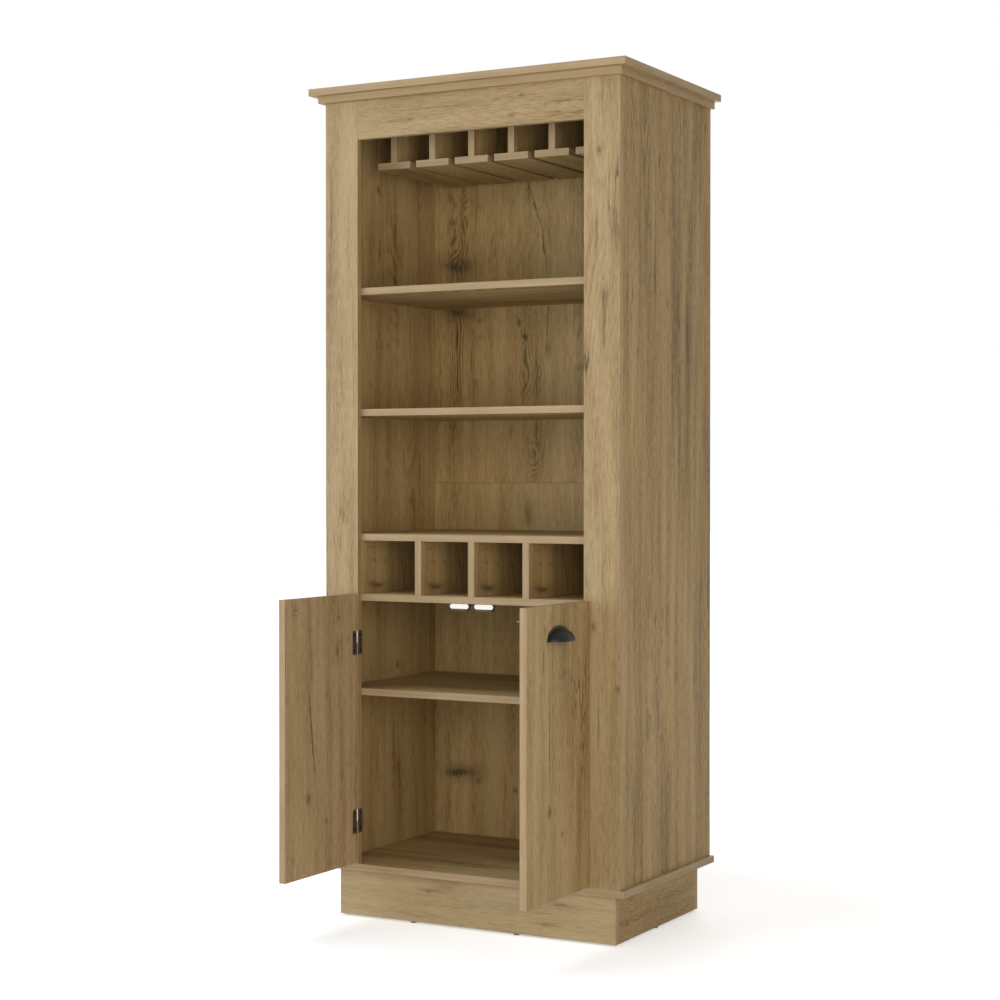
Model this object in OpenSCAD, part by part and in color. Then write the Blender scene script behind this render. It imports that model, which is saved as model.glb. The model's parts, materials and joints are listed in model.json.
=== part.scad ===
// Bar armoire: a tall open cabinet with a stemware rack, display shelves, bottle cubbies
// and a two-door cupboard on a recessed plinth. Millimetres, +Z up.
// Origin: on the floor, at the middle of the width, in the front plane of the face frame.
// +X is the right side as seen from the front, +Y goes towards the back.
// Both doors stand open at a right angle.

/* [Cabinet] */
// Height from the floor to the top of the crown
total_h = 1800; // [1750:1:1900]
// Width over the two side panels
carcass_w = 709; // [680:1:760]
// Depth from the face frame's front to the rear edges
carcass_d = 463.5; // [430:0.5:500]
// Thickness of every board
board_t = 15; // [15:0.5:16]
// Thickness of the two back panels
back_t = 3; // [2.5:0.1:4]
// How far the back panels sit in from the rear edges
back_inset = 20.2; // [15:0.1:30]
// Height of the seam between the two back panels
back_seam_z = 946; // [880:1:1060]

/* [Face frame and crown] */
// Width of a stile
stile_w = 82; // [60:0.5:90]
// Height of the top rail
rail_h = 83; // [60:0.5:90]
// Overhang of the crown board at the front
crown_front = 30; // [20:0.5:40]
// Overhang of the crown board at each side
crown_side = 25; // [15:0.5:35]
// Overhang of the top panel at the front
lip_front = 15; // [8:0.5:20]
// Overhang of the top panel at each side
lip_side = 10; // [5:0.5:14]

/* [Base] */
// Overhang of the base board at each side
base_lip = 10; // [5:0.5:15]
// Height of the plinth boards
plinth_h = 102.5; // [80:0.5:120]
// Setback of the plinth behind the face frame
plinth_front_y = 25; // [15:0.5:40]
// Setback of the plinth from the outer face of each side panel
plinth_side_in = 21.2; // [15:0.1:30]
// Height of a glide below the plinth
glide_h = 4; // [3:0.5:6]
// Diameter of a glide
glide_d = 15; // [10:0.5:15]

/* [Shelves] */
// Top of the lower shelf, inside the cupboard
lower_shelf_z = 501; // [400:1:560]
// Top of the bottle rack's floor
rack_floor_z = 706; // [690:1:720]
// Top of the bottle rack's top board
rack_top_z = 836.5; // [820:0.5:860]
// Top of the middle shelf
middle_shelf_z = 1106; // [1085:1:1180]
// Top of the upper shelf
upper_shelf_z = 1368.5; // [1300:0.5:1420]
// Distance between the middles of two bottle dividers
divider_pitch = 130.3; // [110:0.1:150]

/* [Stemware rack] */
// Distance between the middles of two rails
rail_pitch = 97.4; // [92:0.1:100]
// Width of a rail's flange
flange_w = 82; // [70:0.5:86]
// Front end of the rails
rail_front_y = 102; // [60:1:140]
// Free space between the rails and the back panel
rail_rear_gap = 34; // [10:1:60]
// Height of a rail's stem board
stem_h = 120.5; // [100:0.5:140]

/* [Doors] */
// Width of a door
door_w = 270.5; // [240:0.5:290]
// Gap between the base board and a door
door_bottom_gap = 2.8; // [1:0.1:4]
// Height of a door
door_h = 582.7; // [560:0.1:590]
// Gap between the face frame and the hinged edge of an open door
door_hinge_gap = 6; // [6:0.1:7]
// Height of a cup pull's open edge
pull_z = 635.5; // [560:0.5:650]
// Width of a cup pull over its flange
pull_w = 99; // [96:0.5:110]
// Height of a cup pull over its flange
pull_h = 30.5; // [28:0.5:36]
// How far a cup pull stands out
pull_out = 30; // [28:0.5:34]

/* [Hinges and catches] */
// Height of a hinge
leaf_h = 51; // [45:0.5:60]
// Width of a leaf, from the pin's middle
leaf_w = 19; // [17:0.1:20]
// Thickness of a leaf
leaf_t = 1; // [0.8:0.1:1.2]
// Middle height of the lower hinges
low_hinge_z = 214.8; // [190:0.1:260]
// Middle height of the upper hinges
high_hinge_z = 601; // [540:0.5:620]
// Distance from the middle of the cabinet to the middle of a catch
catch_x = 29.5; // [28:0.1:60]
// Length of a catch's face plate
plate_l = 45; // [42:0.5:50]
// Height of a catch's face plate
plate_h = 10.2; // [9:0.1:11]

/* [Hidden] */
// Main planes of the cabinet
half_w = carcass_w / 2;
inner_half = half_w - board_t;
stile_in = half_w - stile_w;
back_y = carcass_d - back_inset;
shelf_y = board_t;
rack_end_x = stile_in + board_t / 2;
divider_places = [-rack_end_x, -divider_pitch, 0, divider_pitch, rack_end_x];
plinth_top = glide_h + plinth_h;
base_top = plinth_top + board_t;
crown_z = total_h - board_t;
carcass_top = crown_z - board_t;
rail_z = carcass_top - rail_h;
plinth_half = half_w - plinth_side_in;
door_z = base_top + door_bottom_gap;
door_top = door_z + door_h;
door_end_y = -door_hinge_gap - door_w;
door_mid_y = -door_hinge_gap - door_w / 2;
door_outer = stile_in + board_t;

// How far a cut runs past the face that it opens
cut_past = 1;
round_fn = 40;

// Grooves that hold the back panels
groove_slack = 0.2;
groove_w = back_t + groove_slack;
groove_depth = 7;
groove_play = 0.5;
seam_gap = 0.4;
seam_strip_h = 40;
seam_strip_t = 3;
seam_strip_inset = 1;

// Stemware rack
rail_count = 6;
flange_top = carcass_top - stem_h;
flange_z = flange_top - board_t;
rail_rear_y = back_y - rail_rear_gap;

// Dowels: how deep one goes into a board's face and into a board's end
dowel_d = 8;
thin_dowel_d = 6;
dowel_face_depth = 9;
dowel_end_depth = 18;
bore_slack = 0.05;
bore_end_slack = 1;
front_dowel_y = 60;
rear_dowel_y = 395;
rack_dowel_inset = 40;
stile_dowel_count = 4;
corner_dowel_shares = [0.25, 0.75];
plinth_dowel_x = plinth_half * 2 / 3;
peg_fn = 24;

// Screws: the tip's diameter as a share of the shank's, and the cross as shares of the head's
tip_share = 0.25;
cross_arm_share = 0.62;
cross_slot_share = 0.14;
cross_depth_share = 0.16;

// Hinges: the leaves lie on the stile's edge and on the door's back
knuckle_r = 2.75;
frame_knuckle_r = 2.4;
pin_r = 1.5;
pin_bore_r = 1.55;
knuckle_gap = 0.3;
knuckle_room = knuckle_r + knuckle_gap;
frame_gap = 0.2;
hinge_x = stile_in + knuckle_r - leaf_t;
hinge_y = -knuckle_r - frame_gap;
leaf_hole_from_pin = 12;
leaf_hole_from_mid = 16.5;
leaf_screw_d = 2.8;
leaf_screw_head_d = 5.6;
frame_screw_l = 18;
door_screw_l = 12;

// Catches hang under the bottle rack's floor, just behind its front edge
catch_y = board_t + 2;
plate_t = 1.2;
plate_drop = 0.4;
housing_w = 38;
housing_d = 13;
magnet_case_w = 35;
magnet_case_wall = 0.6;
flange_plate_t = 2.5;
flange_plate_d = 13;
magnet_w = 32;
magnet_h = 3.2;
magnet_d = 10;
magnet_gap = 0.2;
magnet_recess = 0.4;
pole_t = 0.8;
plate_screw_from_mid = 16.4;
plate_screw_d = 2;
plate_screw_head_d = 4;
plate_screw_l = 9;
catch_screw_from_mid = 10;
catch_screw_d = 2.8;
catch_screw_head_d = 5.4;
catch_screw_l = 12;
catch_top = rack_floor_z - board_t;
plate_top = catch_top - plate_drop;
plate_z = plate_top - plate_h;
magnet_z = plate_z - magnet_h - magnet_gap;

// Strikes: the bent end of a steel strip meets the magnet when the door is shut
strike_gap = 0.3;
strike_w = 12;
strike_t = 1.2;
strike_in_door = 10;
strike_z = magnet_z + magnet_h / 2;
closed_door_back_y = hinge_y + hinge_x - stile_in;
strike_l = catch_y - strike_gap - closed_door_back_y;
strike_y = hinge_y - (hinge_x - catch_x);

// Cup pulls
pull_wall = 1.6;
pull_flange = 5;
pull_flange_t = 1.8;
pull_fn = 36;
pull_tab_y = 32;
pull_tab_z = 8;
pull_tab_half = 5.5;
pull_screw_d = 2.8;
pull_screw_head_d = 5.6;
pull_screw_l = 12;

// Screws from the top panel, into the crown above and the rack's stems below
top_screw_d = 4;
top_screw_head_d = 8;
stem_screw_l = 45;
crown_screw_l = 25;
crown_screw_x = 250;
crown_screw_front_y = 50;
crown_screw_rear_y = 428;

// Glides, as [x, y] on the plinth's edges
glide_left_x = -151;
glide_right_x = 100;
glide_flat_r = 4;
glide_nail_r = 1;
glide_nail_l = 14;
glide_nail_root = 1;
glide_arc_step = 15;
plinth_mid_y = (plinth_front_y + back_y) / 2;
plinth_edge_x = plinth_half - board_t / 2;
glides = [
    [glide_left_x, plinth_front_y + board_t / 2],
    [glide_right_x, plinth_front_y + board_t / 2],
    [glide_left_x, back_y - board_t / 2],
    [glide_right_x, back_y - board_t / 2],
    [plinth_edge_x, plinth_mid_y],
    [-plinth_edge_x, plinth_mid_y]
];

// Finishes
oak = "#a38c66";
oak_back = "#8d7752";
beech = "#d8c09a";
bright_steel = "#c8c4be";
dark_steel = "#3a302a";
black_metal = "#2b2b2d";
zinc = "#a9a9a6";
white_plastic = "#f2f0ec";
brown_plastic = "#5a4a38";
magnet_grey = "#6d6a68";
bronze = "#8a7652";

// Left-hand pieces are the right-hand ones mirrored
module on_side(side) {
    mirror([side < 0 ? 1 : 0, 0, 0])
        children();
}

// A board between two corners
module board(low, high) {
    translate(low)
        cube(high - low);
}

// A peg along +Z through a joint at z = 0, or its bore when slack is above 0
module peg(below, above, d, slack) {
    ends = slack > 0 ? bore_end_slack : 0;
    translate([0, 0, -below - ends])
        cylinder(h = below + above + 2 * ends, d = d + 2 * slack, $fn = peg_fn);
}

// A countersunk screw with its head's top at z = 0, pointing down; slack makes its hole
module wood_screw(l, d, head_d, slack = 0) {
    cone_h = (head_d - d) / 2;
    tip_h = d;
    shank_end = slack > 0 ? l + bore_end_slack : l - tip_h;
    difference() {
        union() {
            translate([0, 0, -cone_h])
                cylinder(h = cone_h, d1 = d + 2 * slack, d2 = head_d + 2 * slack, $fn = peg_fn);
            translate([0, 0, -shank_end])
                cylinder(h = shank_end - cone_h, d = d + 2 * slack, $fn = peg_fn);
            if (slack == 0)
                translate([0, 0, -l])
                    cylinder(h = tip_h, d1 = d * tip_share, d2 = d, $fn = peg_fn);
        }
        if (slack == 0)
            cross_recess(head_d);
    }
}

// The cross cut into a screw's head
module cross_recess(head_d) {
    arm = head_d * cross_arm_share;
    slot = head_d * cross_slot_share;
    depth = head_d * cross_depth_share;
    for (turn = [0, 90])
        rotate([0, 0, turn])
            translate([-arm / 2, -slot / 2, -depth])
                cube([arm, slot, 2 * depth]);
}

// ---- Pegs, which are also the bores when slack is above 0 ----

// Two pegs at each end of a board that lies between the side panels
module shelf_pegs(top, slack = 0) {
    for (side = [-1, 1], y = [front_dowel_y, rear_dowel_y])
        on_side(side)
            translate([inner_half, y, top - board_t / 2])
                rotate([0, 90, 0])
                    peg(dowel_end_depth, dowel_face_depth, dowel_d, slack);
}

// Two pegs at the foot and two at the head of a bottle divider
module divider_pegs(x, slack = 0) {
    for (y = [front_dowel_y, rear_dowel_y]) {
        translate([x, y, rack_floor_z])
            peg(dowel_face_depth, dowel_end_depth, thin_dowel_d, slack);
        translate([x, y, rack_top_z - board_t])
            peg(dowel_end_depth, dowel_face_depth, thin_dowel_d, slack);
    }
}

// Pegs that stand a side panel on the base board and hold the top panel on it
module side_pegs(slack = 0) {
    for (side = [-1, 1], y = [front_dowel_y, rear_dowel_y])
        on_side(side) {
            translate([half_w - board_t / 2, y, base_top])
                peg(dowel_face_depth, dowel_end_depth, dowel_d, slack);
            translate([half_w - board_t / 2, y, carcass_top])
                peg(dowel_end_depth, dowel_face_depth, dowel_d, slack);
        }
}

// Pegs from the back of each stile into the front edge of its side panel
module stile_pegs(slack = 0) {
    spacing = (carcass_top - base_top) / (stile_dowel_count + 1);
    for (side = [-1, 1], step = [1:stile_dowel_count])
        on_side(side)
            translate([half_w - board_t / 2, board_t, base_top + step * spacing])
                rotate([-90, 0, 0])
                    peg(dowel_face_depth, dowel_end_depth, dowel_d, slack);
}

// Pegs that join the face frame to itself, to the base board and to the top panel
module frame_pegs(slack = 0) {
    for (side = [-1, 1])
        on_side(side) {
            translate([stile_in + stile_w / 2, board_t / 2, base_top])
                peg(dowel_face_depth, dowel_end_depth, thin_dowel_d, slack);
            translate([stile_in + stile_w / 2, board_t / 2, carcass_top])
                peg(dowel_end_depth, dowel_face_depth, thin_dowel_d, slack);
            translate([stile_in / 2, board_t / 2, carcass_top])
                peg(dowel_end_depth, dowel_face_depth, thin_dowel_d, slack);
            for (share = corner_dowel_shares)
                translate([stile_in, board_t / 2, rail_z + share * rail_h])
                    rotate([0, 90, 0])
                        peg(dowel_end_depth, dowel_end_depth, thin_dowel_d, slack);
        }
}

// Pegs at the plinth's corners and from its edges up into the base board
module plinth_pegs(slack = 0) {
    for (side = [-1, 1])
        on_side(side) {
            for (share = corner_dowel_shares) {
                translate([plinth_edge_x, plinth_front_y + board_t, glide_h + share * plinth_h])
                    rotate([-90, 0, 0])
                        peg(dowel_face_depth, dowel_end_depth, thin_dowel_d, slack);
                translate([plinth_edge_x, back_y - board_t, glide_h + share * plinth_h])
                    rotate([-90, 0, 0])
                        peg(dowel_end_depth, dowel_face_depth, thin_dowel_d, slack);
            }
            translate([plinth_edge_x, plinth_mid_y, plinth_top])
                peg(dowel_end_depth, dowel_face_depth, thin_dowel_d, slack);
            for (y = [plinth_front_y + board_t / 2, back_y - board_t / 2])
                translate([plinth_dowel_x, y, plinth_top])
                    peg(dowel_end_depth, dowel_face_depth, thin_dowel_d, slack);
        }
}

// Two pegs between a rail's stem and its flange
module rail_pegs(index, slack = 0) {
    for (y = [rail_front_y + rack_dowel_inset, rail_rear_y - rack_dowel_inset])
        translate([rail_x(index), y, flange_top])
            peg(dowel_face_depth, dowel_end_depth, thin_dowel_d, slack);
}

function rail_x(index) = (index - (rail_count + 1) / 2) * rail_pitch;

// Screws that hold the crown board from below
module crown_screws(slack = 0) {
    for (x = [-crown_screw_x, 0, crown_screw_x], y = [crown_screw_front_y, crown_screw_rear_y])
        translate([x, y, carcass_top])
            rotate([180, 0, 0])
                wood_screw(crown_screw_l, top_screw_d, top_screw_head_d, slack);
}

// Screws from above that hang a rail's stem from the top panel
module stem_screws(index, slack = 0) {
    for (y = [rail_front_y + rack_dowel_inset, rail_rear_y - rack_dowel_inset])
        translate([rail_x(index), y, crown_z])
            wood_screw(stem_screw_l, top_screw_d, top_screw_head_d, slack);
}

// Screws that hold a leaf on each side: frame leaves, or door leaves with the door open
module frame_screws_right(slack = 0) {
    for (z = [low_hinge_z, high_hinge_z], dz = [-leaf_hole_from_mid, leaf_hole_from_mid])
        translate([stile_in - leaf_t, hinge_y + leaf_hole_from_pin, z + dz])
            rotate([0, -90, 0])
                wood_screw(frame_screw_l, leaf_screw_d, leaf_screw_head_d, slack);
}

module door_screws_right(slack = 0) {
    for (z = [low_hinge_z, high_hinge_z], dz = [-leaf_hole_from_mid, leaf_hole_from_mid])
        translate([stile_in - leaf_t, hinge_y - leaf_hole_from_pin, z + dz])
            rotate([0, -90, 0])
                wood_screw(door_screw_l, leaf_screw_d, leaf_screw_head_d, slack);
}

// Screws of the right cup pull, driven from inside the cup into the door's face
module pull_screws_right(slack = 0) {
    for (dy = [-pull_tab_y, pull_tab_y])
        translate([door_outer + pull_flange_t, door_mid_y + dy, pull_z + pull_tab_z])
            rotate([0, 90, 0])
                wood_screw(pull_screw_l, pull_screw_d, pull_screw_head_d, slack);
}

// Nails of the glides
module glide_nails(slack = 0) {
    for (spot = glides)
        translate([spot.x, spot.y, glide_h])
            peg(glide_nail_root, glide_nail_l, 2 * glide_nail_r, slack);
}

// ---- Carcass ----

// Side panel with the groove for the back panels, standing on the base board
module side_panel(side) {
    color(oak)
        difference() {
            on_side(side)
                board([inner_half, board_t, base_top], [half_w, carcass_d, carcass_top]);
            on_side(side)
                board([inner_half - cut_past, back_y, base_top - cut_past],
                      [inner_half + groove_depth, back_y + groove_w, carcass_top + cut_past]);
            for (top = [lower_shelf_z, rack_floor_z, rack_top_z, middle_shelf_z, upper_shelf_z])
                shelf_pegs(top, bore_slack);
            side_pegs(bore_slack);
            stile_pegs(bore_slack);
        }
}

// Top panel: roofs the carcass and forms the crown's lower step
module top_panel() {
    color(oak)
        difference() {
            board([-half_w - lip_side, -lip_front, carcass_top],
                  [half_w + lip_side, carcass_d, crown_z]);
            board([-inner_half - groove_depth, back_y, carcass_top - cut_past],
                  [inner_half + groove_depth, back_y + groove_w, carcass_top + groove_depth]);
            side_pegs(bore_slack);
            frame_pegs(bore_slack);
            crown_screws(bore_slack);
            for (index = [1:rail_count])
                stem_screws(index, bore_slack);
        }
}

// Crown board: the upper and wider step of the crown
module crown_board() {
    color(oak)
        difference() {
            board([-half_w - crown_side, -crown_front, crown_z],
                  [half_w + crown_side, carcass_d, total_h]);
            crown_screws(bore_slack);
        }
}

// Base board: the cupboard's floor, flush with the face frame, with a lip at each side
module base_board() {
    color(oak)
        difference() {
            board([-half_w - base_lip, 0, plinth_top], [half_w + base_lip, carcass_d, base_top]);
            board([-inner_half - groove_depth, back_y, base_top - groove_depth],
                  [inner_half + groove_depth, back_y + groove_w, base_top + cut_past]);
            side_pegs(bore_slack);
            frame_pegs(bore_slack);
            plinth_pegs(bore_slack);
        }
}

// Stile of the face frame, pegged on the side panel's front edge
module stile(side) {
    color(oak)
        difference() {
            on_side(side)
                board([stile_in, 0, base_top], [half_w, board_t, carcass_top]);
            stile_pegs(bore_slack);
            frame_pegs(bore_slack);
            on_side(side)
                frame_screws_right(bore_slack);
        }
}

// Top rail between the stiles
module top_rail() {
    color(oak)
        difference() {
            board([-stile_in, 0, rail_z], [stile_in, board_t, carcass_top]);
            frame_pegs(bore_slack);
        }
}

// Plinth boards: front and back run the full width, the sides stand between them
module plinth_board(low, high) {
    color(oak)
        difference() {
            board(low, high);
            plinth_pegs(bore_slack);
            glide_nails(bore_slack);
        }
}

module plinth_front() {
    plinth_board([-plinth_half, plinth_front_y, glide_h],
                 [plinth_half, plinth_front_y + board_t, plinth_top]);
}

module plinth_back() {
    plinth_board([-plinth_half, back_y - board_t, glide_h], [plinth_half, back_y, plinth_top]);
}

module plinth_left() {
    plinth_board([-plinth_half, plinth_front_y + board_t, glide_h],
                 [-plinth_half + board_t, back_y - board_t, plinth_top]);
}

module plinth_right() {
    plinth_board([plinth_half - board_t, plinth_front_y + board_t, glide_h],
                 [plinth_half, back_y - board_t, plinth_top]);
}

// Nail-on glides: a dome with a small flat that touches the floor
module floor_glides() {
    rim_w = glide_d / 2 - glide_flat_r;
    dome = [
        for (turn = [0:glide_arc_step:90])
            [glide_flat_r + rim_w * sin(turn), glide_h * (1 - cos(turn))]
    ];
    color(dark_steel) {
        glide_nails();
        for (spot = glides)
            translate([spot.x, spot.y, 0])
                rotate_extrude($fn = round_fn)
                    polygon(concat([[0, glide_h], [0, 0]], dome));
    }
}

// Thin back panels, slid into the grooves of the side panels, base board and top panel
module back_panel(low_z, high_z) {
    reach = inner_half + groove_depth - groove_play;
    color(oak_back)
        board([-reach, back_y, low_z], [reach, back_y + back_t, high_z]);
}

module upper_back_panel() {
    back_panel(back_seam_z + seam_gap / 2, carcass_top + groove_depth - groove_play);
}

module lower_back_panel() {
    back_panel(base_top - groove_depth + groove_play, back_seam_z - seam_gap / 2);
}

// Strip glued behind the seam of the back panels
module back_seam_strip() {
    reach = inner_half - seam_strip_inset;
    color(oak_back)
        board([-reach, back_y + back_t, back_seam_z - seam_strip_h / 2],
              [reach, back_y + back_t + seam_strip_t, back_seam_z + seam_strip_h / 2]);
}

// ---- Inside ----

// A board between the side panels, from the face frame's back to the back panel
module shelf(top) {
    color(oak)
        difference() {
            board([-inner_half, shelf_y, top - board_t], [inner_half, back_y, top]);
            shelf_pegs(top, bore_slack);
            if (top == rack_floor_z || top == rack_top_z)
                for (x = divider_places)
                    divider_pegs(x, bore_slack);
            if (top == rack_floor_z)
                for (side = [-1, 1])
                    on_side(side)
                        catch_screws_right(bore_slack);
        }
}

// Upright between the bottle rack's floor and top; the end ones wall off the outer cubbies
module bottle_divider(x) {
    color(oak)
        difference() {
            board([x - board_t / 2, shelf_y, rack_floor_z],
                  [x + board_t / 2, back_y, rack_top_z - board_t]);
            divider_pegs(x, bore_slack);
        }
}

// Upright of a stemware rail, hung from the top panel
module glass_rail_stem(index) {
    color(oak)
        difference() {
            board([rail_x(index) - board_t / 2, rail_front_y, flange_top],
                  [rail_x(index) + board_t / 2, rail_rear_y, carcass_top]);
            stem_screws(index, bore_slack);
            rail_pegs(index, bore_slack);
        }
}

// Flange of a stemware rail; the foot of a glass slides on two of them
module glass_rail_flange(index) {
    color(oak)
        difference() {
            board([rail_x(index) - flange_w / 2, rail_front_y, flange_z],
                  [rail_x(index) + flange_w / 2, rail_rear_y, flange_top]);
            rail_pegs(index, bore_slack);
        }
}

module shelf_dowels() {
    color(beech) {
        for (top = [lower_shelf_z, rack_floor_z, rack_top_z, middle_shelf_z, upper_shelf_z])
            shelf_pegs(top);
        for (x = divider_places)
            divider_pegs(x);
        for (index = [1:rail_count])
            rail_pegs(index);
    }
}

module frame_dowels() {
    color(beech) {
        side_pegs();
        stile_pegs();
        frame_pegs();
        plinth_pegs();
    }
}

module top_screws() {
    color(zinc) {
        crown_screws();
        for (index = [1:rail_count])
            stem_screws(index);
    }
}

// ---- Doors, drawn open at a right angle ----

module door(side) {
    color(oak)
        difference() {
            on_side(side)
                board([stile_in, door_end_y, door_z], [door_outer, -door_hinge_gap, door_top]);
            on_side(side) {
                door_screws_right(bore_slack);
                pull_screws_right(bore_slack);
                strike_slot_right();
            }
        }
}

// A quarter of an ellipsoid: x forward from the door, z up from the open edge
module quarter_dome(out, half, rise) {
    intersection() {
        scale([out, half, rise])
            sphere(r = 1, $fn = pull_fn);
        translate([0, -half, 0])
            cube([out, 2 * half, rise]);
    }
}

// Half an ellipse standing on its flat side, as thick as t along +X
module half_ellipse_plate(half, rise, t) {
    rotate([90, 0, 90])
        linear_extrude(height = t)
            intersection() {
                scale([half, rise])
                    circle(r = 1, $fn = 2 * pull_fn);
                translate([-half, 0])
                    square([2 * half, rise]);
            }
}

// Cup pull of the right door: a dome open at the bottom, with a flange and two screw tabs
module cup_pull_right() {
    dome_half = pull_w / 2 - pull_flange;
    dome_h = pull_h - pull_flange;
    difference() {
        translate([door_outer, door_mid_y, pull_z])
            union() {
                difference() {
                    union() {
                        quarter_dome(pull_out, dome_half, dome_h);
                        half_ellipse_plate(pull_w / 2, pull_h, pull_flange_t);
                    }
                    scale([pull_out - pull_wall, dome_half - pull_wall, dome_h - pull_wall])
                        sphere(r = 1, $fn = pull_fn);
                }
                for (side = [-1, 1])
                    mirror([0, side < 0 ? 1 : 0, 0])
                        board([0, pull_tab_y - pull_tab_half, pull_tab_z - pull_tab_half],
                              [pull_flange_t, dome_half - pull_wall, pull_tab_z + pull_tab_half]);
            }
        pull_screws_right(bore_slack);
    }
}

module cup_pull(side) {
    color(black_metal)
        on_side(side)
            cup_pull_right();
}

module pull_screws(side) {
    color(zinc)
        on_side(side)
            pull_screws_right();
}

// ---- Hinges ----

// Rolled knuckle of a leaf, from z = low to z = high about the pin
module knuckle(r, low, high) {
    translate([hinge_x, hinge_y, low])
        difference() {
            cylinder(h = high - low, r = r, $fn = round_fn);
            translate([0, 0, -cut_past])
                cylinder(h = high - low + 2 * cut_past, r = pin_bore_r, $fn = round_fn);
        }
}

// Frame leaf on the stile's edge, with the upper knuckle; it leaves room for the lower one
module frame_leaf_right(z) {
    difference() {
        union() {
            board([stile_in - leaf_t, hinge_y + knuckle_room, z - leaf_h / 2],
                  [stile_in, hinge_y + leaf_w, z + leaf_h / 2]);
            board([stile_in - leaf_t, hinge_y, z + knuckle_gap / 2],
                  [stile_in, hinge_y + knuckle_room, z + leaf_h / 2]);
        }
        frame_screws_right(bore_slack);
    }
    knuckle(frame_knuckle_r, z + knuckle_gap / 2, z + leaf_h / 2);
}

// Door leaf on the door's back, with the lower knuckle; it leaves room for the upper one
module door_leaf_right(z) {
    difference() {
        union() {
            board([stile_in - leaf_t, hinge_y - leaf_w, z - leaf_h / 2],
                  [stile_in, hinge_y - knuckle_room, z + leaf_h / 2]);
            board([stile_in - leaf_t, hinge_y - knuckle_room, z - leaf_h / 2],
                  [stile_in, hinge_y, z - knuckle_gap / 2]);
        }
        door_screws_right(bore_slack);
    }
    knuckle(knuckle_r, z - leaf_h / 2, z - knuckle_gap / 2);
}

module frame_leaves() {
    color(dark_steel)
        for (side = [-1, 1], z = [low_hinge_z, high_hinge_z])
            on_side(side)
                frame_leaf_right(z);
}

module door_leaves(side) {
    color(dark_steel)
        on_side(side)
            for (z = [low_hinge_z, high_hinge_z])
                door_leaf_right(z);
}

// A pin runs through both knuckles of each hinge
module hinge_pins() {
    color(bright_steel)
        for (side = [-1, 1], z = [low_hinge_z, high_hinge_z])
            on_side(side)
                translate([hinge_x, hinge_y, z - leaf_h / 2])
                    cylinder(h = leaf_h, r = pin_r, $fn = round_fn);
}

module frame_leaf_screws() {
    color(zinc)
        for (side = [-1, 1])
            on_side(side)
                frame_screws_right();
}

module door_leaf_screws(side) {
    color(zinc)
        on_side(side)
            door_screws_right();
}

// ---- Magnetic catches ----

// Face screws and hanging screws of the right catch
module plate_screws_right(slack = 0) {
    for (dx = [-plate_screw_from_mid, plate_screw_from_mid])
        translate([catch_x + dx, catch_y, plate_z + plate_h / 2])
            rotate([90, 0, 0])
                wood_screw(plate_screw_l, plate_screw_d, plate_screw_head_d, slack);
}

module catch_screws_right(slack = 0) {
    flange_mid_y = catch_y + plate_t + housing_d + flange_plate_d / 2;
    for (dx = [-catch_screw_from_mid, catch_screw_from_mid])
        translate([catch_x + dx, flange_mid_y, catch_top - flange_plate_t])
            rotate([180, 0, 0])
                wood_screw(catch_screw_l, catch_screw_d, catch_screw_head_d, slack);
}

// Face plate of a catch, with round ends
module catch_plate_right() {
    straight = (plate_l - plate_h) / 2;
    difference() {
        union() {
            for (dx = [-straight, straight])
                translate([catch_x + dx, catch_y, plate_z + plate_h / 2])
                    rotate([-90, 0, 0])
                        cylinder(h = plate_t, d = plate_h, $fn = round_fn);
            board([catch_x - straight, catch_y, plate_z],
                  [catch_x + straight, catch_y + plate_t, plate_top]);
        }
        plate_screws_right(bore_slack);
    }
}

module catch_plates() {
    color(white_plastic)
        for (side = [-1, 1])
            on_side(side)
                catch_plate_right();
}

// Housing behind a face plate: a block, the magnet's case below it and a fixing flange
module catch_housing_right() {
    front = catch_y + plate_t;
    back = front + housing_d;
    difference() {
        union() {
            board([catch_x - housing_w / 2, front, plate_z],
                  [catch_x + housing_w / 2, back, catch_top]);
            board([catch_x - magnet_case_w / 2, front, magnet_z - magnet_case_wall],
                  [catch_x + magnet_case_w / 2, back, plate_z]);
            board([catch_x - housing_w / 2, back, catch_top - flange_plate_t],
                  [catch_x + housing_w / 2, back + flange_plate_d, catch_top]);
        }
        board([catch_x - magnet_w / 2, front - cut_past, magnet_z],
              [catch_x + magnet_w / 2, catch_y + magnet_d, magnet_z + magnet_h]);
        plate_screws_right(bore_slack);
        catch_screws_right(bore_slack);
    }
}

module catch_housings() {
    color(brown_plastic)
        for (side = [-1, 1])
            on_side(side)
                catch_housing_right();
}

// A bar magnet between two steel pole plates, in the case below each face plate
module catch_magnets() {
    for (side = [-1, 1])
        on_side(side)
            translate([catch_x, catch_y, magnet_z]) {
                color(magnet_grey)
                    board([-magnet_w / 2, magnet_recess, pole_t],
                          [magnet_w / 2, magnet_d, magnet_h - pole_t]);
                for (z = [0, magnet_h - pole_t])
                    color(zinc)
                        board([-magnet_w / 2, 0, z], [magnet_w / 2, magnet_d, z + pole_t]);
            }
}

module catch_screws() {
    color(zinc)
        for (side = [-1, 1])
            on_side(side) {
                plate_screws_right();
                catch_screws_right();
            }
}

// Slot sawn into the right door's back for its strike
module strike_slot_right() {
    half_t = strike_t / 2 + bore_slack;
    half_slot = strike_w / 2 + bore_slack;
    board([stile_in - cut_past, strike_y - half_slot, strike_z - half_t],
          [stile_in + strike_in_door + bore_end_slack, strike_y + half_slot, strike_z + half_t]);
}

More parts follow.
